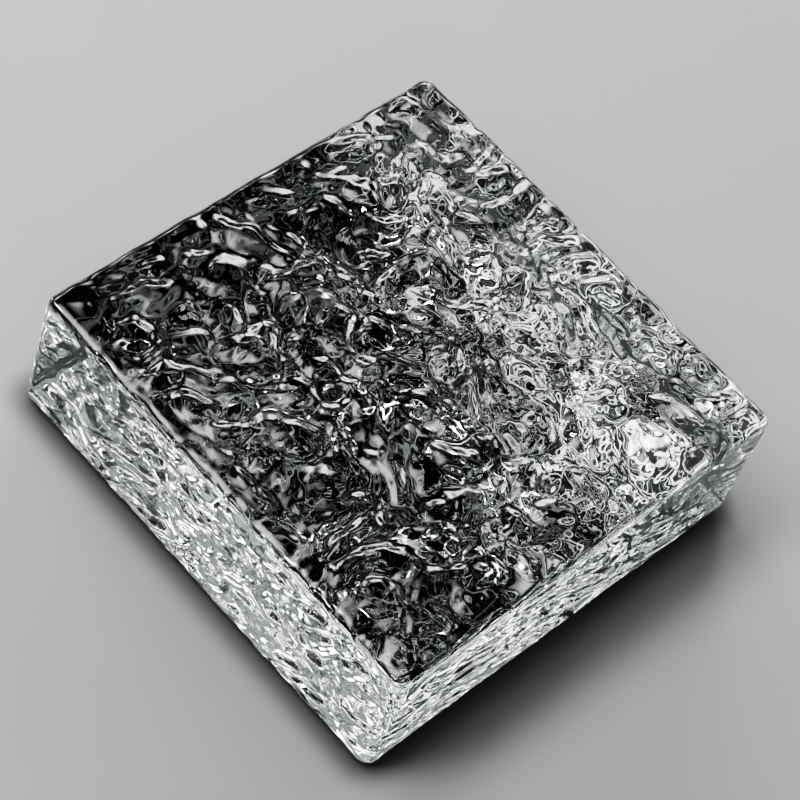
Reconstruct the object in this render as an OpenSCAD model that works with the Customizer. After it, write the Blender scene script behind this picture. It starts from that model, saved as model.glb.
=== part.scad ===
// Solid pressed glass block: one square piece of clear glass with an ice-like relief
// pressed into both broad faces and plain upright sides. It lies on one broad face.
// Origin at the middle of the underside, +Z up through the thickness. Millimetres.

/* [Block] */
// Length of each of the four sides
block_side = 150; // [100:5:200]
// Thickness from the highest crests of one face to the highest crests of the other
block_thickness = 50; // [30:1:80]
// Radius of the four upright corners
corner_radius = 4; // [4:0.5:10]
// Radius of the softened edges where the broad faces turn into the sides
edge_radius = 3; // [1:0.25:3.5]

/* [Ice relief] */
// Spacing of the broad swells under the lobes
swell_size = 26; // [18:1:40]
// Height of the swells from trough to crest
swell_height = 0.9; // [0:0.1:2]
// Spacing of the lobes, which meet in soft creases
lobe_size = 13; // [9:0.5:18]
// Height of the lobes above their creases
lobe_height = 2.4; // [0.4:0.1:3]
// Spacing of the ripples that run over the lobes
ripple_size = 8; // [7:0.5:14]
// Height of the ripples from trough to crest
ripple_height = 1.3; // [0:0.1:2]
// How far lobes and ripples are dragged out of line by the flow of the hot glass
flow_drag = 4; // [0:0.5:6]
// Height at which the floor of the mould levels the highest crests
crest_level = 1.5; // [0.6:0.1:2.5]
// Height over which a crest rounds off into that level
crest_blend = 0.4; // [0.1:0.05:0.6]
// Width of the border in which the relief grows to full height
calm_border = 6; // [4:0.5:12]
// Draw of the random pattern on the upper face
upper_pattern = 3; // [1:1:99]
// Draw of the random pattern on the underside
lower_pattern = 30; // [1:1:99]

/* [Resolution] */
// Facets of the relief along each side
relief_cells = 40; // [24:2:44]
// Facets in half of each upright corner
corner_cells = 2; // [1:1:3]

/* [Hidden] */

half_side = block_side / 2;
half_thickness = block_thickness / 2;
flat_half = half_side - corner_radius;
// The square field of even cells stops this far inside the sides
field_inset = calm_border + edge_radius;
field_half = half_side - field_inset;
// Share of its full height that the relief keeps where it runs out over the edge
border_share = 0.5;
// Sharpness of the creases between lobes, as a share of the steepest wave
crease_share = 0.12;
// Turns of the lattices that carry swells, lobes and ripples, in degrees
swell_turn = 15;
lobe_turn = 45;
ripple_turn = 75;
// Steps between the draws of the relief's separate waves
wave_draws = [0, 20, 40, 60, 80];
// Places of the rings between the even field and the softened edge, as shares of that way
calm_ring_shares = [1 / 2, 1];
// Turns of the softened edge at which it has a ring, in degrees from the broad face
edge_turns = [30, 62];
// The faces run past the sides by this much, so that the outline trims them
overrun = edge_radius / 6;
// Drop of the overrunning rim below the broad face: the edge's last facet, carried on
rim_drop = edge_radius * 1.8;
// Lattice places are counted from this far outside the block, so that none is negative
lattice_start = 100;
// Whole numbers are mixed within this prime-based range
mix_range = 289;

function lerp(a, b, share) = a + (b - a) * share;
function turned(p, angle) =
    [p.x * cos(angle) - p.y * sin(angle), p.x * sin(angle) + p.y * cos(angle)];
function ease(t) = t * t * t * (t * (t * 6 - 15) + 10);

// Scatters a whole number over the mixing range
function mixed(n) = (34 * n + 1) * n % mix_range;

// Random slope direction, in degrees, at one place of a lattice
function slope_turn(i, j, draw) =
    360 / mix_range * mixed(mixed(mixed(draw) + i + lattice_start) + j + lattice_start);

// Rise at p caused by the sloping plane that a lattice place carries
function rise_from(i, j, p, draw) =
    let (turn = slope_turn(i, j, draw))
    cos(turn) * (p.x - i) + sin(turn) * (p.y - j);

// Smooth random surface over a lattice one unit wide, mostly within -0.5 to 0.5
function waves(p, draw) =
    let (i = floor(p.x), j = floor(p.y), u = ease(p.x - i), v = ease(p.y - j))
    lerp(lerp(rise_from(i, j, p, draw), rise_from(i + 1, j, p, draw), u),
         lerp(rise_from(i, j + 1, p, draw), rise_from(i + 1, j + 1, p, draw), u), v);

// Rounded lobes on both sides of the lines where the waves cross zero
function lobed(wave) = 2 * (sqrt(wave * wave + crease_share * crease_share) - crease_share);

// Rounds off a height into the level of the mould's floor
function levelled(h) =
    let (over = h - crest_level + crest_blend)
    over <= 0 ? h : over >= 2 * crest_blend ? crest_level : h - over * over / (4 * crest_blend);

// Relief of a pressed face at plan point p: swells, and dragged lobes with ripples on them
function relief(p, draw) =
    let (s = turned(p, swell_turn) / swell_size,
         drag = [waves(s, draw + wave_draws[1]), waves(s, draw + wave_draws[2])],
         q = p + 2 * flow_drag * drag)
    levelled(
        swell_height * waves(s, draw + wave_draws[0])
        + lobe_height * lobed(waves(turned(q, lobe_turn) / lobe_size, draw + wave_draws[3]))
        + ripple_height * waves(turned(q, ripple_turn) / ripple_size, draw + wave_draws[4]));

// Share of the relief left at a given distance inside the sides
function calm_share(inset) =
    lerp(border_share, 1, ease(min(1, max(0, (inset - edge_radius) / calm_border))));

// Point of a face's outer ring: step 0 to relief_cells along one side, from diagonal to
// diagonal, on the outline moved inwards by inset
function side_point(step, inset) =
    let (reach = corner_radius - inset,
         before_end = relief_cells - step,
         turn = step < corner_cells ? -135 + 45 * step / corner_cells
              : before_end < corner_cells ? -45 - 45 * before_end / corner_cells : -90,
         along = (step - corner_cells) / (relief_cells - 2 * corner_cells),
         centre = [lerp(-flat_half, flat_half, min(1, max(0, along))), -flat_half])
    centre + reach * [cos(turn), sin(turn)];
function ring_point(k, inset) =
    turned(side_point(k % relief_cells, inset), 90 * floor(k / relief_cells));

// The same steps round the border of the square field of even cells
function field_point(i, j) =
    field_half * [2 * i / relief_cells - 1, 2 * j / relief_cells - 1];
function field_border_point(k) =
    turned(field_point(k % relief_cells, 0), 90 * floor(k / relief_cells));

ring_steps = [for (k = [0 : 4 * relief_cells - 1]) k];
field_steps = [for (i = [0 : relief_cells]) i];

// A face in plan, each point with its distance inside the sides and its drop at the edge
field_plan = [for (j = field_steps, i = field_steps)
    let (p = field_point(i, j)) [p, half_side - max(abs(p.x), abs(p.y)), 0]];
calm_plan = [for (share = calm_ring_shares, k = ring_steps)
    [lerp(field_border_point(k), ring_point(k, edge_radius), share),
     lerp(field_inset, edge_radius, share), 0]];
edge_plan = [for (turn = edge_turns, k = ring_steps)
    let (inset = edge_radius * (1 - sin(turn)))
    [ring_point(k, inset), inset, edge_radius * (1 - cos(turn))]];
rim_plan = [for (k = ring_steps) [ring_point(k, -overrun), -overrun, rim_drop]];
face_plan = concat(field_plan, calm_plan, edge_plan, rim_plan);
face_count = len(face_plan);
ring_count = len(calm_ring_shares) + len(edge_turns) + 1;

// Heights of one face above the block's middle, with its highest crest at half_thickness
function face_points(draw) =
    let (raw = [for (q = face_plan) relief(q[0], draw) * calm_share(q[1]) - q[2]],
         peak = max(raw))
    [for (k = [0 : face_count - 1])
        [face_plan[k][0].x, face_plan[k][0].y, half_thickness + raw[k] - peak]];

// Numbers of the points in each loop: the field's border first, then the rings outwards
function field_number(i, j) = j * (relief_cells + 1) + i;
function border_number(k) =
    let (side = floor(k / relief_cells), step = k % relief_cells, back = relief_cells - step)
    side == 0 ? field_number(step, 0)
    : side == 1 ? field_number(relief_cells, step)
    : side == 2 ? field_number(back, relief_cells) : field_number(0, back);
function loop_number(ring, k) =
    let (step = k % (4 * relief_cells))
    ring == 0 ? border_number(step)
    : len(field_plan) + (ring - 1) * 4 * relief_cells + step;

// Two triangles for each four-sided cell, cut along its second diagonal
function halves(a, b, c, d) = [[a, b, c], [a, c, d]];
field_faces = [for (j = [0 : relief_cells - 1], i = [0 : relief_cells - 1])
    each halves(field_number(i, j), field_number(i, j + 1),
                field_number(i + 1, j + 1), field_number(i + 1, j))];
ring_faces = [for (ring = [0 : ring_count - 1], k = ring_steps)
    each halves(loop_number(ring, k), loop_number(ring, k + 1),
                loop_number(ring + 1, k + 1), loop_number(ring + 1, k))];
upper_faces = concat(field_faces, ring_faces);
lower_faces = [for (f = upper_faces)
    [f[2] + face_count, f[1] + face_count, f[0] + face_count]];
wall_faces = [for (k = ring_steps)
    let (a = loop_number(ring_count, k), b = loop_number(ring_count, k + 1))
    each halves(a, b, b + face_count, a + face_count)];

// Both pressed faces, joined by a wall that stands just outside the block's sides
module pressed_faces() {
    upper = face_points(upper_pattern);
    lower = [for (p = face_points(lower_pattern)) [p.x, p.y, -p.z]];
    polyhedron(points = concat(upper, lower),
               faces = concat(upper_faces, lower_faces, wall_faces));
}

// Plan outline of the mould: a square with rounded corners
module outline() {
    square([block_side, 2 * flat_half], center = true);
    square([2 * flat_half, block_side], center = true);
    for (x = [-flat_half, flat_half], y = [-flat_half, flat_half])
        translate([x, y]) circle(r = corner_radius, $fn = 64);
}

module glass_block() {
    color([0.86, 0.93, 0.9, 0.5])
    translate([0, 0, half_thickness])
    intersection() {
        linear_extrude(height = 2 * block_thickness, center = true) outline();
        pressed_faces();
    }
}

glass_block();
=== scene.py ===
# %% [markdown]
# This lesson dresses a solid block of pressed glass, 150 x 150 x 50 mm, for a studio picture.
# The block is one piece of clear glass. All that the eye sees in it comes from its surface:
# the ice-like relief of both broad faces bends the light, and the plain sides show the inside
# as mirrors do. So the lesson has one main step, a fine mesh of the pressed faces, and then
# the glass, the floor, the lights and the camera that bring it out.

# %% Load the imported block
import functools
import math

import bpy
from mathutils import Matrix, Vector


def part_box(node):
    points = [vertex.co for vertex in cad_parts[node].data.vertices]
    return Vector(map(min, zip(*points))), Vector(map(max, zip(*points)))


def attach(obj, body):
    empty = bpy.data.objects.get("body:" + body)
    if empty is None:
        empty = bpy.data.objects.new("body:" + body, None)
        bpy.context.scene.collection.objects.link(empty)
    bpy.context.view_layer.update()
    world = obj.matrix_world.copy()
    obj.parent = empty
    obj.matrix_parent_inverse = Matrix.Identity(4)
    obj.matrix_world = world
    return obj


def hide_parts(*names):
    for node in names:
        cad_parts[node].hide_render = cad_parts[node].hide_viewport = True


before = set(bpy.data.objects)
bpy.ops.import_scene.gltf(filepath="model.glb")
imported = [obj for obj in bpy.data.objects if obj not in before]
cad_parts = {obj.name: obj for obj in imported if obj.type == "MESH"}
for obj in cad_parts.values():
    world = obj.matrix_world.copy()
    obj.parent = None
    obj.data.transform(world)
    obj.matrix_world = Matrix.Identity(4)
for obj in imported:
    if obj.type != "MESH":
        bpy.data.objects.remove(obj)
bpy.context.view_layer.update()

MM = 0.001
CAD_NODE = "glass_block"
block_low, block_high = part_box(CAD_NODE)
block_side = (block_high.x - block_low.x) / MM
block_thickness = (block_high.z - block_low.z) / MM
print(f"block {block_side:.1f} mm square and {block_thickness:.1f} mm thick")

# %% [markdown]
# Geometry and materials are both made of nodes here. One small function adds a node, applies
# its settings and fills its inputs, whatever kind of node it is. An input is named by its
# label or its number. It gets a plain value, a socket, or a node, whose first output it takes.
# The numbers of a Map Range are 0 for the value, 1 and 2 for the range that it comes from, and
# 3 and 4 for the range that it is mapped to.

# %% Add a node
MATH = "ShaderNodeMath"
VECTOR = "ShaderNodeVectorMath"


def add_node(tree, kind, inputs=None, **settings):
    """Adds a node to a tree with its settings, and with its inputs filled or linked."""
    node = tree.nodes.new(kind)
    for name, value in settings.items():
        setattr(node, name, value)
    for key, value in (inputs or {}).items():
        if isinstance(value, bpy.types.Node):
            value = value.outputs[0]
        if isinstance(value, bpy.types.NodeSocket):
            tree.links.new(value, node.inputs[key])
        else:
            node.inputs[key].default_value = value
    return node


# %% [markdown]
# The relief follows a rule, so Geometry Nodes grow it, and nothing is sculpted. The rule is
# the one that shaped the solid: a random slope sits on each place of a square lattice, and
# each point of the surface blends the four slopes round it. The turn of a slope comes from
# whole numbers that are mixed and cut back to a fixed range. Whole numbers stay exact, so the
# fine mesh gets the very lobes and creases of the solid. A noise node would be quicker to
# set up, but its bumps would lie in other places than the solid's.

# %% Node group that scatters a whole number
# The range is the square of 17 and the factor is twice 17, so the rule meets each number of
# the range once, and no slope is drawn more often than another.
MIX_RANGE = 289
MIX_FACTOR = 34


def new_group(name, inputs, output):
    """A geometry node group with named inputs and one output. Returns it and its end nodes."""
    tree = bpy.data.node_groups.new(name, "GeometryNodeTree")
    for label, kind in inputs.items():
        tree.interface.new_socket(label, in_out="INPUT", socket_type=kind)
    tree.interface.new_socket(output[0], in_out="OUTPUT", socket_type=output[1])
    return tree, tree.nodes.new("NodeGroupInput").outputs, tree.nodes.new("NodeGroupOutput")


scatter, given, result = new_group(
    "Scatter", {"Number": "NodeSocketFloat"}, ("Number", "NodeSocketFloat"))
put = functools.partial(add_node, scatter)
steep = put(MATH, {0: given[0], 1: MIX_FACTOR, 2: 1}, operation="MULTIPLY_ADD")
grown = put(MATH, {0: steep, 1: given[0]}, operation="MULTIPLY")
cut_back = put(MATH, {0: grown, 1: MIX_RANGE}, operation="MODULO")
scatter.links.new(cut_back.outputs[0], result.inputs[0])

# %% Node group for the rise from one lattice place
# Places are counted from this far outside the block, so that none is negative.
LATTICE_START = 100
rise, given, result = new_group(
    "Rise",
    {"Point": "NodeSocketVector", "Place": "NodeSocketVector", "Draw": "NodeSocketFloat"},
    ("Rise", "NodeSocketFloat"))
put = functools.partial(add_node, rise)
place = put("ShaderNodeSeparateXYZ", {0: given["Place"]})
number = put("GeometryNodeGroup", {}, node_tree=scatter)
rise.links.new(given["Draw"], number.inputs[0])
for axis in ("X", "Y"):
    counted = put(MATH, {0: place.outputs[axis], 1: LATTICE_START}, operation="ADD")
    joined = put(MATH, {0: number, 1: counted}, operation="ADD")
    number = put("GeometryNodeGroup", {}, node_tree=scatter)
    rise.links.new(joined.outputs[0], number.inputs[0])
turn = put(MATH, {0: number, 1: math.tau / MIX_RANGE}, operation="MULTIPLY")
along_x = put(MATH, {0: turn}, operation="COSINE")
along_y = put(MATH, {0: turn}, operation="SINE")
slope = put("ShaderNodeCombineXYZ", {0: along_x, 1: along_y})
offset = put(VECTOR, {0: given["Point"], 1: given["Place"]}, operation="SUBTRACT")
height = put(VECTOR, {0: slope, 1: offset}, operation="DOT_PRODUCT")
rise.links.new(height.outputs["Value"], result.inputs[0])

# %% Node group for the smooth waves over a lattice
waves, given, result = new_group(
    "Waves", {"Point": "NodeSocketVector", "Draw": "NodeSocketFloat"},
    ("Height", "NodeSocketFloat"))
put = functools.partial(add_node, waves)
flat = put(VECTOR, {0: given["Point"], 1: (1, 1, 0)}, operation="MULTIPLY")
corner = put(VECTOR, {0: flat}, operation="FLOOR")
within = put("ShaderNodeSeparateXYZ", {0: put(VECTOR, {0: flat}, operation="FRACTION")})
eased = [
    put("ShaderNodeMapRange", {0: within.outputs[k]}, interpolation_type="SMOOTHERSTEP")
    for k in (0, 1)]
rows = []
for up in (0, 1):
    ends = []
    for across in (0, 1):
        lattice_place = put(VECTOR, {0: corner, 1: (across, up, 0)}, operation="ADD")
        ends.append(put("GeometryNodeGroup", {}, node_tree=rise))
        sources = (flat.outputs[0], lattice_place.outputs[0], given["Draw"])
        for key, source in enumerate(sources):
            waves.links.new(source, ends[-1].inputs[key])
    rows.append(put("ShaderNodeMix", {0: eased[0], 2: ends[0], 3: ends[1]}, data_type="FLOAT"))
blended = put("ShaderNodeMix", {0: eased[1], 2: rows[0], 3: rows[1]}, data_type="FLOAT")
waves.links.new(blended.outputs[0], result.inputs[0])
for group in (scatter, rise, waves):
    print(f"node group {group.name} has {len(group.nodes)} nodes")

# %% [markdown]
# The block starts as a box with fine cells, and each of its points is moved once. Seen from
# above, a point keeps its distance inside the outline, and the outline is a square with round
# corners. The first cells inside the outline, and the rows next to them on the sides, wrap
# round the softened edge. Last comes the relief, up or down. One closed mesh comes out of
# this, with no seam for the light to catch on, which clear glass would show at once.

# %% Sizes of the block, in millimetres, and the random draws
# The sizes and draws from "Corner Radius" to "Lower Pattern" are those of the solid. Wrinkles
# and skin are finer than its facets. They are the marks of the mould and of the hot glass.
CELLS = 204
WALL_ROWS = 14
SIZES = {
    "Block Side": block_side,
    "Block Thickness": block_thickness,
    "Corner Radius": 4,
    "Edge Radius": 3,
    "Calm Border": 6,
    "Border Share": 0.5,
    "Swell Size": 26,
    "Swell Height": 0.9,
    "Lobe Size": 13,
    "Lobe Height": 2.4,
    "Crease Share": 0.12,
    "Ripple Size": 8,
    "Ripple Height": 1.3,
    "Flow Drag": 4,
    "Crest Level": 1.5,
    "Crest Blend": 0.4,
    "Upper Pattern": 3,
    "Lower Pattern": 30,
    "Wrinkle Size": 4.2,
    "Wrinkle Height": 0.45,
    "Skin Size": 1.9,
    "Skin Height": 0.12,
}

# %% Start the tree that grows the block
grow, given, result = new_group(
    "Pressed block", {label: "NodeSocketFloat" for label in SIZES},
    ("Mesh", "NodeSocketGeometry"))
grow.interface.new_socket("Glass", in_out="INPUT", socket_type="NodeSocketMaterial")
grow.is_modifier = True
put = functools.partial(add_node, grow)
half_side = put(MATH, {0: given["Block Side"], 1: 0.5}, operation="MULTIPLY")
half_thickness = put(MATH, {0: given["Block Thickness"], 1: 0.5}, operation="MULTIPLY")
flat_half = put(MATH, {0: half_side, 1: given["Corner Radius"]}, operation="SUBTRACT")
size_mm = put(
    "ShaderNodeCombineXYZ",
    {0: given["Block Side"], 1: given["Block Side"], 2: given["Block Thickness"]})
size = put(VECTOR, {0: size_mm, "Scale": MM}, operation="SCALE")
box = put(
    "GeometryNodeMeshCube",
    {"Size": size, "Vertices X": CELLS + 1, "Vertices Y": CELLS + 1, "Vertices Z": WALL_ROWS + 1})

# %% Where each point of the box is: inside the outline, and up the side
# Each half of the wall has seven rows of cells. The two next to the middle make the plain
# side. The other five, and the outer three millimetres of the face, make half of the edge's
# quarter turn each.
PLAIN_ROWS = 2
PLAIN_SHARE = PLAIN_ROWS / (WALL_ROWS / 2)
EDGE_ZONE = 3
HALF_WRAP = math.radians(45)
point_mm = put(VECTOR, {0: put("GeometryNodeInputPosition"), "Scale": 1 / MM}, operation="SCALE")
point = put("ShaderNodeSeparateXYZ", {0: point_mm})
away = [put(MATH, {0: point.outputs[k]}, operation="ABSOLUTE") for k in range(3)]
furthest = put(MATH, {0: away[0], 1: away[1]}, operation="MAXIMUM")
inside = put(MATH, {0: half_side, 1: furthest}, operation="SUBTRACT")
up_side = put(MATH, {0: away[2], 1: half_thickness}, operation="DIVIDE")

# %% Wrap the softened edge
turn_on_face = put("ShaderNodeMapRange", {0: inside, 1: 0, 2: EDGE_ZONE, 3: HALF_WRAP, 4: 0})
turn_on_side = put(
    "ShaderNodeMapRange", {0: up_side, 1: PLAIN_SHARE, 2: 1, 3: HALF_WRAP, 4: 0})
edge_turn = put(MATH, {0: turn_on_face, 1: turn_on_side}, operation="ADD")
sine = put(MATH, {0: edge_turn}, operation="SINE")
cosine = put(MATH, {0: edge_turn}, operation="COSINE")
pulled_in = put(MATH, {0: 1, 1: sine}, operation="SUBTRACT")
dropped = put(MATH, {0: 1, 1: cosine}, operation="SUBTRACT")
edge_inset = put(MATH, {0: pulled_in, 1: given["Edge Radius"]}, operation="MULTIPLY")
edge_drop = put(MATH, {0: dropped, 1: given["Edge Radius"]}, operation="MULTIPLY")
face_depth = put(MATH, {0: half_side, 1: given["Edge Radius"]}, operation="SUBTRACT")
beyond = put(
    "ShaderNodeMapRange", {0: inside, 1: EDGE_ZONE, 2: half_side, 3: 0, 4: face_depth})
inset = put(MATH, {0: edge_inset, 1: beyond}, operation="ADD")

# %% Lay the points on the outline with its round corners
# The tiny length keeps the two divisions from meeting zero.
TINY = 1e-6
ring_half = put(MATH, {0: half_side, 1: inset}, operation="SUBTRACT")
furthest_safe = put(MATH, {0: furthest, 1: TINY}, operation="MAXIMUM")
ring_scale = put(MATH, {0: ring_half, 1: furthest_safe}, operation="DIVIDE")
plan = put(VECTOR, {0: point_mm, 1: (1, 1, 0)}, operation="MULTIPLY")
square_ring = put(VECTOR, {0: plan, "Scale": ring_scale}, operation="SCALE")
flat_corner = put("ShaderNodeCombineXYZ", {0: flat_half, 1: flat_half})
far_corner = put(VECTOR, {0: flat_corner, "Scale": -1}, operation="SCALE")
held_low = put(VECTOR, {0: square_ring, 1: far_corner}, operation="MAXIMUM")
held = put(VECTOR, {0: held_low, 1: flat_corner}, operation="MINIMUM")
past = put(VECTOR, {0: square_ring, 1: held}, operation="SUBTRACT")
past_size = put("ShaderNodeSeparateXYZ", {0: put(VECTOR, {0: past}, operation="ABSOLUTE")})
past_most = put(
    MATH, {0: past_size.outputs[0], 1: past_size.outputs[1]}, operation="MAXIMUM")
past_length = put(VECTOR, {0: past}, operation="LENGTH")
past_safe = put(MATH, {0: past_length.outputs["Value"], 1: TINY}, operation="MAXIMUM")
rounding = put(MATH, {0: past_most, 1: past_safe}, operation="DIVIDE")
past_round = put(VECTOR, {0: past, "Scale": rounding}, operation="SCALE")
outline = put(VECTOR, {0: held, 1: past_round}, operation="ADD")

# %% [markdown]
# The relief has three layers that the solid has too. Broad swells come first. Lobes follow,
# made from waves whose depths are folded up, so that they meet in creases as crumpled ice
# does. Ripples run over them. Lobes and ripples are dragged out of line by slow waves, as hot
# glass drags them when it fills the mould. Two finer layers finish it: wrinkles, folded too,
# which draw the thin bright lines and loops, and a skin that keeps large lobes from looking
# polished. Both run out before the softened edge, which is smooth.

# %% Drag the pattern as the hot glass flowed
# Each layer has its own draw of the random slopes and its own turn of the lattice, in degrees.
# The waves lie between about -0.5 and 0.5, so they are doubled to fill the drag.
DRAWS = {
    "swell": 0, "drag_x": 20, "drag_y": 40, "lobe": 60, "ripple": 80, "wrinkle": 100,
    "skin": 120}
TURNS = {"swell": 15, "lobe": 45, "ripple": 75, "wrinkle": 20, "skin": 60}
underneath = put("FunctionNodeCompare", {0: point.outputs[2], 1: 0}, operation="LESS_THAN")
draw = put(
    "GeometryNodeSwitch",
    {"Switch": underneath, "False": given["Upper Pattern"], "True": given["Lower Pattern"]},
    input_type="FLOAT")


def lattice_point(place, turn_name, spacing):
    """A plan point turned, and measured in steps of a lattice."""
    turned = put(
        "ShaderNodeVectorRotate", {"Vector": place, "Angle": math.radians(TURNS[turn_name])},
        rotation_type="Z_AXIS")
    steps = put(MATH, {0: 1, 1: given[spacing]}, operation="DIVIDE")
    return put(VECTOR, {0: turned, "Scale": steps}, operation="SCALE")


def wave_height(place, draw_name):
    """Height of the waves that a draw gives at a lattice point."""
    own_draw = put(MATH, {0: draw, 1: DRAWS[draw_name]}, operation="ADD")
    wave = put("GeometryNodeGroup", {}, node_tree=waves)
    grow.links.new(place.outputs[0], wave.inputs[0])
    grow.links.new(own_draw.outputs[0], wave.inputs[1])
    return wave


swell_place = lattice_point(outline, "swell", "Swell Size")
drag = put(
    "ShaderNodeCombineXYZ",
    {0: wave_height(swell_place, "drag_x"), 1: wave_height(swell_place, "drag_y")})
reach = put(MATH, {0: given["Flow Drag"], 1: 2}, operation="MULTIPLY")
drag_mm = put(VECTOR, {0: drag, "Scale": reach}, operation="SCALE")
dragged = put(VECTOR, {0: outline, 1: drag_mm}, operation="ADD")

# %% Fold the waves of lobes and wrinkles into creases
crease_square = put(
    MATH, {0: given["Crease Share"], 1: given["Crease Share"]}, operation="MULTIPLY")


def fold(wave):
    """A wave with its depths folded up, so that its lobes meet in creases."""
    softened = put(MATH, {0: wave, 1: wave, 2: crease_square}, operation="MULTIPLY_ADD")
    folded = put(MATH, {0: softened}, operation="SQRT")
    above_crease = put(MATH, {0: folded, 1: given["Crease Share"]}, operation="SUBTRACT")
    return put(MATH, {0: above_crease, 1: 2}, operation="MULTIPLY")


lobed = fold(wave_height(lattice_point(dragged, "lobe", "Lobe Size"), "lobe"))
wrinkled = fold(wave_height(lattice_point(dragged, "wrinkle", "Wrinkle Size"), "wrinkle"))

# %% Add up the layers
# The two fine layers grow from nothing, between the middle of the softened edge and the end
# of the calm border.
FINE_LAYERS = ("Wrinkle Height", "Skin Height")
half_edge = put(MATH, {0: given["Edge Radius"], 1: 0.5}, operation="MULTIPLY")
calm_end = put(MATH, {0: given["Edge Radius"], 1: given["Calm Border"]}, operation="ADD")
fine_share = put(
    "ShaderNodeMapRange", {0: inset, 1: half_edge, 2: calm_end, 3: 0, 4: 1},
    interpolation_type="SMOOTHSTEP")
layers = {
    "Swell Height": wave_height(swell_place, "swell"),
    "Lobe Height": lobed,
    "Ripple Height": wave_height(lattice_point(dragged, "ripple", "Ripple Size"), "ripple"),
    "Wrinkle Height": wrinkled,
    "Skin Height": wave_height(lattice_point(dragged, "skin", "Skin Size"), "skin"),
}
relief = None
for label, wave in layers.items():
    layer = put(MATH, {0: wave, 1: given[label]}, operation="MULTIPLY")
    if label in FINE_LAYERS:
        layer = put(MATH, {0: layer, 1: fine_share}, operation="MULTIPLY")
    relief = put(MATH, {0: relief, 1: layer}, operation="ADD") if relief else layer

# %% [markdown]
# The mould's floor is level, so the highest crests are too, and the block lies steady on
# them. A crest rounds off into that level instead of being cut. Towards the edges the relief
# calms down, and it keeps half of its height where it runs out over the soft edge.

# %% Level the crests and calm the border
level_start = put(
    MATH, {0: given["Crest Level"], 1: given["Crest Blend"]}, operation="SUBTRACT")
over = put(MATH, {0: relief, 1: level_start}, operation="SUBTRACT")
blend_width = put(MATH, {0: given["Crest Blend"], 1: 2}, operation="MULTIPLY")
over_low = put(MATH, {0: over, 1: 0}, operation="MAXIMUM")
over_held = put(MATH, {0: over_low, 1: blend_width}, operation="MINIMUM")
over_square = put(MATH, {0: over_held, 1: over_held}, operation="MULTIPLY")
four_blends = put(MATH, {0: blend_width, 1: 2}, operation="MULTIPLY")
rounded_off = put(MATH, {0: over_square, 1: four_blends}, operation="DIVIDE")
below_cap = put(MATH, {0: over, 1: blend_width}, operation="MINIMUM")
shaped = put(MATH, {0: below_cap, 1: rounded_off}, operation="SUBTRACT")
levelled = put(MATH, {0: shaped, 1: level_start}, operation="ADD")
share = put(
    "ShaderNodeMapRange",
    {0: inset, 1: given["Edge Radius"], 2: calm_end, 3: given["Border Share"], 4: 1},
    interpolation_type="SMOOTHERSTEP")
raised = put(MATH, {0: levelled, 1: share}, operation="MULTIPLY")
raw_height = put(MATH, {0: raised, 1: edge_drop}, operation="SUBTRACT")

# %% Set both faces to the block's thickness
on_top = put("FunctionNodeCompare", {0: point.outputs[2], 1: 0}, operation="GREATER_THAN")
peaks = [
    put("GeometryNodeAttributeStatistic",
        {"Geometry": box, "Selection": side, "Attribute": raw_height}).outputs["Max"]
    for side in (on_top, underneath)]
peak = put(
    "GeometryNodeSwitch", {"Switch": underneath, "False": peaks[0], "True": peaks[1]},
    input_type="FLOAT")
below_peak = put(MATH, {0: raw_height, 1: peak}, operation="SUBTRACT")
face_height = put(MATH, {0: half_thickness, 1: below_peak}, operation="ADD")

# %% Carry the sides down to the middle
# The power keeps one row of the wall close under the softened edge, so that the shading of
# the edge doesn't spread over the plain side.
ROW_POWER = 5.5
down_side = put("ShaderNodeMapRange", {0: up_side, 1: 0, 2: PLAIN_SHARE, 3: 1, 4: 0})
lowered = put(MATH, {0: down_side, 1: ROW_POWER}, operation="POWER")
kept = put(MATH, {0: 1, 1: lowered}, operation="SUBTRACT")
above_middle = put(MATH, {0: face_height, 1: kept}, operation="MULTIPLY")
which_way = put(MATH, {0: point.outputs[2]}, operation="SIGN")
from_middle = put(MATH, {0: above_middle, 1: which_way}, operation="MULTIPLY")
from_base = put(MATH, {0: from_middle, 1: half_thickness}, operation="ADD")
laid = put("ShaderNodeSeparateXYZ", {0: outline})
place_mm = put(
    "ShaderNodeCombineXYZ", {0: laid.outputs[0], 1: laid.outputs[1], 2: from_base})
final_place = put(VECTOR, {0: place_mm, "Scale": MM}, operation="SCALE")
moved = put("GeometryNodeSetPosition", {"Geometry": box, "Position": final_place})
smooth = put("GeometryNodeSetShadeSmooth", {"Geometry": moved})
realized = put("GeometryNodeRealizeInstances", {"Geometry": smooth})
dressed = put("GeometryNodeSetMaterial", {"Geometry": realized, "Material": given["Glass"]})
grow.links.new(dressed.outputs[0], result.inputs[0])
print("the block's tree has", len(grow.nodes), "nodes")

# %% [markdown]
# The glass is soda-lime glass, pressed in an iron mould and fire-polished, which leaves it
# clear and glossy. It bends light by an index of 1.52. A trace of iron tints it green, but
# only over a long way through it, so the tint belongs to the volume and not to the surface.
# The skin is a little uneven at a scale below the mesh, which a fine bump gives, and the fire
# has polished it a little more in some patches than in others.

# %% Colours from hex values


def srgb(code):
    """An sRGB hex colour as the linear values that Blender works in."""
    parts = [int(code[k:k + 2], 16) / 255 for k in (1, 3, 5)]
    return [c / 12.92 if c <= 0.04045 else ((c + 0.055) / 1.055) ** 2.4 for c in parts] + [1]


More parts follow.
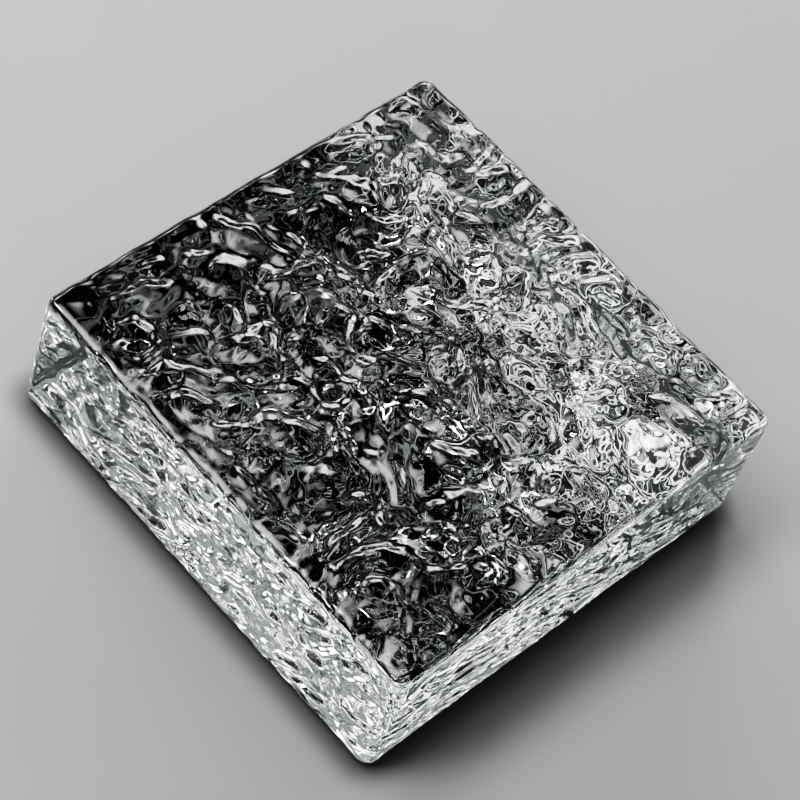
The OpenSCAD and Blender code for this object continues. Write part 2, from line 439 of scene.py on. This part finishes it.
# %% Glass material
# At this density of the tint, 150 mm of glass takes about an eighth of the red out of light.
GLASS_IOR = 1.52
TINT_DENSITY = 1.6
SKIN_GRAIN = 1.2 * MM
SKIN_BUMP = 0.02 * MM
POLISH_PATCH = 14 * MM
MOST_ROUGH = 0.02
glass = bpy.data.materials.new("soda_lime_glass_pressed")
glass.use_nodes = True
glass.node_tree.nodes.clear()
put = functools.partial(add_node, glass.node_tree)
where = put("ShaderNodeTexCoord").outputs["Object"]
skin = put("ShaderNodeTexNoise", {"Vector": where, "Scale": 1 / SKIN_GRAIN, "Detail": 2})
bump = put("ShaderNodeBump", {"Height": skin, "Strength": 0.15, "Distance": SKIN_BUMP})
polish = put("ShaderNodeTexNoise", {"Vector": where, "Scale": 1 / POLISH_PATCH, "Detail": 3})
roughness = put("ShaderNodeMapRange", {0: polish, 1: 0.35, 2: 0.75, 3: 0, 4: MOST_ROUGH})
surface = put(
    "ShaderNodeBsdfPrincipled",
    {"Base Color": srgb("#ffffff"), "Roughness": roughness, "IOR": GLASS_IOR,
     "Transmission Weight": 1, "Normal": bump})
tint = put(
    "ShaderNodeVolumeAbsorption", {"Color": srgb("#b8e2c4"), "Density": TINT_DENSITY})
put("ShaderNodeOutputMaterial", {"Surface": surface, "Volume": tint})
print(f"{glass.name} bends light by {GLASS_IOR}")

# %% Grow the block and keep it as a plain mesh
grower = bpy.data.objects.new("grower", bpy.data.meshes.new("grower"))
bpy.context.scene.collection.objects.link(grower)
modifier = grower.modifiers.new("grow", "NODES")
modifier.node_group = grow
for item in grow.interface.items_tree:
    if item.item_type == "SOCKET" and item.in_out == "INPUT":
        modifier[item.identifier] = glass if item.name == "Glass" else float(SIZES[item.name])
grower.update_tag()
grown_object = grower.evaluated_get(bpy.context.evaluated_depsgraph_get())
block_mesh = bpy.data.meshes.new_from_object(grown_object)
block_mesh.name = "pressed_glass_block"
bpy.data.objects.remove(grower)
block = bpy.data.objects.new("pressed_glass_block", block_mesh)
bpy.context.scene.collection.objects.link(block)
triangles = sum(len(face.vertices) - 2 for face in block_mesh.polygons)
print(f"the block has {len(block_mesh.vertices)} points and {triangles} triangles")
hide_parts(CAD_NODE)
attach(block, "root")

# %% [markdown]
# The floor is one large pale sheet of matt card under the block. It is stage, not object, and
# it lies a tenth of a millimetre low to leave room for the next piece.

# %% Floor
FLOOR_HALF = 4.0
FLOOR_DROP = 0.1 * MM
CARD_MOTTLE = 60 * MM


def lay_sheet(name, half_width, drop, material):
    """A square sheet of stage that lies level, a little below the block's base."""
    mesh = bpy.data.meshes.new(name)
    around = ((-1, -1), (1, -1), (1, 1), (-1, 1))
    mesh.from_pydata(
        [(x * half_width, y * half_width, -drop) for x, y in around], [], [(0, 1, 2, 3)])
    sheet = bpy.data.objects.new(name, mesh)
    bpy.context.scene.collection.objects.link(sheet)
    mesh.materials.append(material)
    return sheet


card = bpy.data.materials.new("matt_card_pale")
card.use_nodes = True
card.node_tree.nodes.clear()
put = functools.partial(add_node, card.node_tree)
where = put("ShaderNodeTexCoord").outputs["Object"]
grain = put("ShaderNodeTexNoise", {"Vector": where, "Scale": 1 / CARD_MOTTLE, "Detail": 4})
shade = put(
    "ShaderNodeMix", {0: grain, 6: srgb("#a9aaab"), 7: srgb("#afb0b1")}, data_type="RGBA")
paper = put(
    "ShaderNodeBsdfPrincipled", {"Base Color": shade.outputs[2], "Roughness": 0.8})
put("ShaderNodeOutputMaterial", {"Surface": paper})
lay_sheet("floor", FLOOR_HALF, FLOOR_DROP, card)
print(f"the floor is {2 * FLOOR_HALF:.0f} m square")

# %% [markdown]
# The relief gathers light into a fine bright net on whatever lies under the block, and that
# net is half of what the eye sees through the top. To trace it would take far more samples
# than a picture has. So caustics are off, which leaves the ground under the block dark, and
# the net is painted: a thin glowing sheet that only shows through the glass. Each of its
# layers glows along the lines where a noise crosses its middle value. The ground between the
# lines has a faint glow, and broad patches get more or less of the light. It comes from the
# block's far right, so the net is brighter on that side. All round the block the sheet goes
# on for a centimetre without a net and fades out, as the soft shade where glass meets card.

# %% Lines of the net
# A layer has the size of its meshes in millimetres, the reach of a line to either side of the
# noise's middle value, and the strength of its glow.
NET_LAYERS = ((13, 0.03, 1.6), (7, 0.03, 1.1), (3.5, 0.04, 0.5))
NET_BEND = 0.8
NET_GROUND = 0.035
net = bpy.data.materials.new("light_net")
net.use_nodes = True
net.node_tree.nodes.clear()
put = functools.partial(add_node, net.node_tree)
where = put("ShaderNodeTexCoord").outputs["Object"]
glow = None
for mesh_mm, line_reach, strength in NET_LAYERS:
    noise = put(
        "ShaderNodeTexNoise",
        {"Vector": where, "Scale": 1 / (mesh_mm * MM), "Detail": 0, "Distortion": NET_BEND})
    off_middle = put(MATH, {0: noise, 1: 0.5}, operation="SUBTRACT")
    off_line = put(MATH, {0: off_middle}, operation="ABSOLUTE")
    line = put(
        "ShaderNodeMapRange", {0: off_line, 1: 0, 2: line_reach, 3: strength, 4: 0},
        interpolation_type="SMOOTHSTEP")
    glow = put(MATH, {0: glow, 1: line}, operation="ADD") if glow else line
lines_and_ground = put(MATH, {0: glow, 1: NET_GROUND}, operation="ADD")
print(f"the net has {len(NET_LAYERS)} layers of lines")

# %% Where the net is bright
NET_TOWARDS = (0.93, -0.37, 0)
NET_FROM, NET_TO = 0, 85 * MM
DIM_SIDE, BRIGHT_SIDE = 0.09, 1.85
PATCH_SIZE = 16 * MM
DIM_PATCH, BRIGHT_PATCH = 0.25, 1.5
along = put(VECTOR, {0: where, 1: NET_TOWARDS}, operation="DOT_PRODUCT")
lit_side = put(
    "ShaderNodeMapRange",
    {0: along.outputs["Value"], 1: NET_FROM, 2: NET_TO, 3: DIM_SIDE, 4: BRIGHT_SIDE},
    interpolation_type="SMOOTHSTEP")
patch_noise = put(
    "ShaderNodeTexNoise", {"Vector": where, "Scale": 1 / PATCH_SIZE, "Detail": 1})
patches = put(
    "ShaderNodeMapRange", {0: patch_noise, 1: 0.38, 2: 0.6, 3: DIM_PATCH, 4: BRIGHT_PATCH},
    interpolation_type="SMOOTHSTEP")
from_right = put(MATH, {0: lines_and_ground, 1: lit_side}, operation="MULTIPLY")
net_glow = put(MATH, {0: from_right, 1: patches}, operation="MULTIPLY")

# %% End of the net, and the soft shade round it
# Both ends are counted outwards from a square with sides of 140 mm, so the shade has round
# corners. The net ends a little inside the block's sides.
STRAIGHT_PART = (70 * MM, 70 * MM, 0)
NET_END, SHADE_END = 3 * MM, 14 * MM
SHADE_SHARE = 0.45
NET_HALF = 86 * MM
NET_DROP = 0.05 * MM
off_centre = put(VECTOR, {0: where}, operation="ABSOLUTE")
past_straight = put(VECTOR, {0: off_centre, 1: STRAIGHT_PART}, operation="SUBTRACT")
past_ends = put(VECTOR, {0: past_straight, 1: (0, 0, 0)}, operation="MAXIMUM")
outwards = put(VECTOR, {0: past_ends}, operation="LENGTH").outputs["Value"]
under_block = put(MATH, {0: outwards, 1: NET_END}, operation="LESS_THAN")
shade = put(
    "ShaderNodeMapRange", {0: outwards, 1: NET_END, 2: SHADE_END, 3: SHADE_SHARE, 4: 0},
    interpolation_type="SMOOTHSTEP")
cover = put(MATH, {0: shade, 1: under_block}, operation="MAXIMUM")
seen_glow = put(MATH, {0: net_glow, 1: under_block}, operation="MULTIPLY")
shine = put("ShaderNodeEmission", {"Color": srgb("#f2f5f3"), "Strength": seen_glow})
see_through = put("ShaderNodeBsdfTransparent")
net_surface = put("ShaderNodeMixShader", {0: cover, 1: see_through, 2: shine})
put("ShaderNodeOutputMaterial", {"Surface": net_surface})
lay_sheet("light_net", NET_HALF, NET_DROP, net)
print(f"the sheet of the net is {2 * NET_HALF / MM:.0f} mm square")
bpy.context.scene.cycles.caustics_refractive = False
bpy.context.scene.cycles.caustics_reflective = False

# %% [markdown]
# A clear block shows its surroundings, bent. In a bright room it would vanish. It is lit here
# as glass is lit in a studio: the room is dark, and soft boxes stand where the relief can
# catch them. The boxes behind the block shine through it and light up its sides. The one
# straight behind it draws the bright ribbons on the relief. The long one overhead is what
# the softened edges mirror. Each box is brightest in its middle and fades out to its rim, as
# a real one does. The boxes behind have a small bright core in a wide dim field, so a ribbon
# has a thin bright line in it. The one overhead is more even.

# %% Lights
# Places and sizes are in millimetres and powers in watts. A higher core makes the bright
# middle of a box smaller. Its fade starts and ends at these shares of the box's side.
AIM = Vector((0, 0, 25 * MM))
MIDDLE_AT, RIM_AT = 0.05, 0.5
LIGHTS = {
    "back_box": {"at": (200, 1100, 500), "size": (1500, 700), "power": 78, "core": 6},
    "right_box": {"at": (1100, -100, 500), "size": (1500, 700), "power": 55, "core": 6},
    "far_box": {"at": (770, 640, 470), "size": (1500, 1000), "power": 84, "core": 8},
    "overhead_box": {"at": (-450, 340, 1000), "size": (1900, 700), "power": 50, "core": 1},
    "front_box": {"at": (-800, -700, 900), "size": (900, 900), "power": 11, "core": 3},
}
FACES_DOWN = "overhead_box"
for name, setting in LIGHTS.items():
    lamp = bpy.data.lights.new(name, "AREA")
    lamp.shape = "RECTANGLE"
    lamp.size = setting["size"][0] * MM
    lamp.size_y = setting["size"][1] * MM
    lamp.energy = setting["power"]
    lamp.use_nodes = True
    lamp.node_tree.nodes.clear()
    put = functools.partial(add_node, lamp.node_tree)
    spot = put("ShaderNodeNewGeometry").outputs["Parametric"]
    centred = put(VECTOR, {0: spot, 1: (0.5, 0.5, 0)}, operation="SUBTRACT")
    flat = put(VECTOR, {0: centred, 1: (1, 1, 0)}, operation="MULTIPLY")
    off_centre = put(VECTOR, {0: flat}, operation="LENGTH")
    fade = put(
        "ShaderNodeMapRange",
        {0: off_centre.outputs["Value"], 1: MIDDLE_AT, 2: RIM_AT, 3: 1, 4: 0},
        interpolation_type="SMOOTHSTEP")
    cored = put(MATH, {0: fade, 1: setting["core"]}, operation="POWER")
    emission = put("ShaderNodeEmission", {"Strength": cored})
    put("ShaderNodeOutputLight", {"Surface": emission})
    holder = bpy.data.objects.new(name, lamp)
    bpy.context.scene.collection.objects.link(holder)
    holder.location = Vector(setting["at"]) * MM
    if name != FACES_DOWN:
        holder.rotation_euler = (AIM - holder.location).to_track_quat("-Z", "Y").to_euler()
    print(f"{name} is {(holder.location - AIM).length:.2f} m from the block")

# %% Room and view
ROOM_STRENGTH = 0.05
room = bpy.data.worlds.new("dark_room")
bpy.context.scene.world = room
room.use_nodes = True
background = room.node_tree.nodes["Background"].inputs
background["Color"].default_value = srgb("#55585c")
background["Strength"].default_value = ROOM_STRENGTH
bpy.context.scene.view_settings.view_transform = "AgX"
bpy.context.scene.view_settings.look = "AgX - High Contrast"

# %% [markdown]
# The camera stands where the photographer's stood, seen from the block: the block's corners
# and outline fix its place, its roll and its long lens.

# %% Camera
CAMERA_AT = Vector((-457.7, -252.6, 739.0)) * MM
CAMERA_TARGET = Vector((1.8, 1.1, 25.0)) * MM
CAMERA_ROLL = math.radians(22.3)
LENS_MM = 138.56
SENSOR_MM = 36
camera_data = bpy.data.cameras.new("camera")
camera_data.lens = LENS_MM
camera_data.sensor_width = SENSOR_MM
camera = bpy.data.objects.new("camera", camera_data)
bpy.context.scene.collection.objects.link(camera)
aim = (CAMERA_TARGET - CAMERA_AT).to_track_quat("-Z", "Y").to_matrix().to_4x4()
camera.matrix_world = Matrix.Translation(CAMERA_AT) @ aim @ Matrix.Rotation(CAMERA_ROLL, 4, "Z")
bpy.context.scene.camera = camera
print(f"the camera is {(CAMERA_AT - AIM).length:.2f} m from the block")
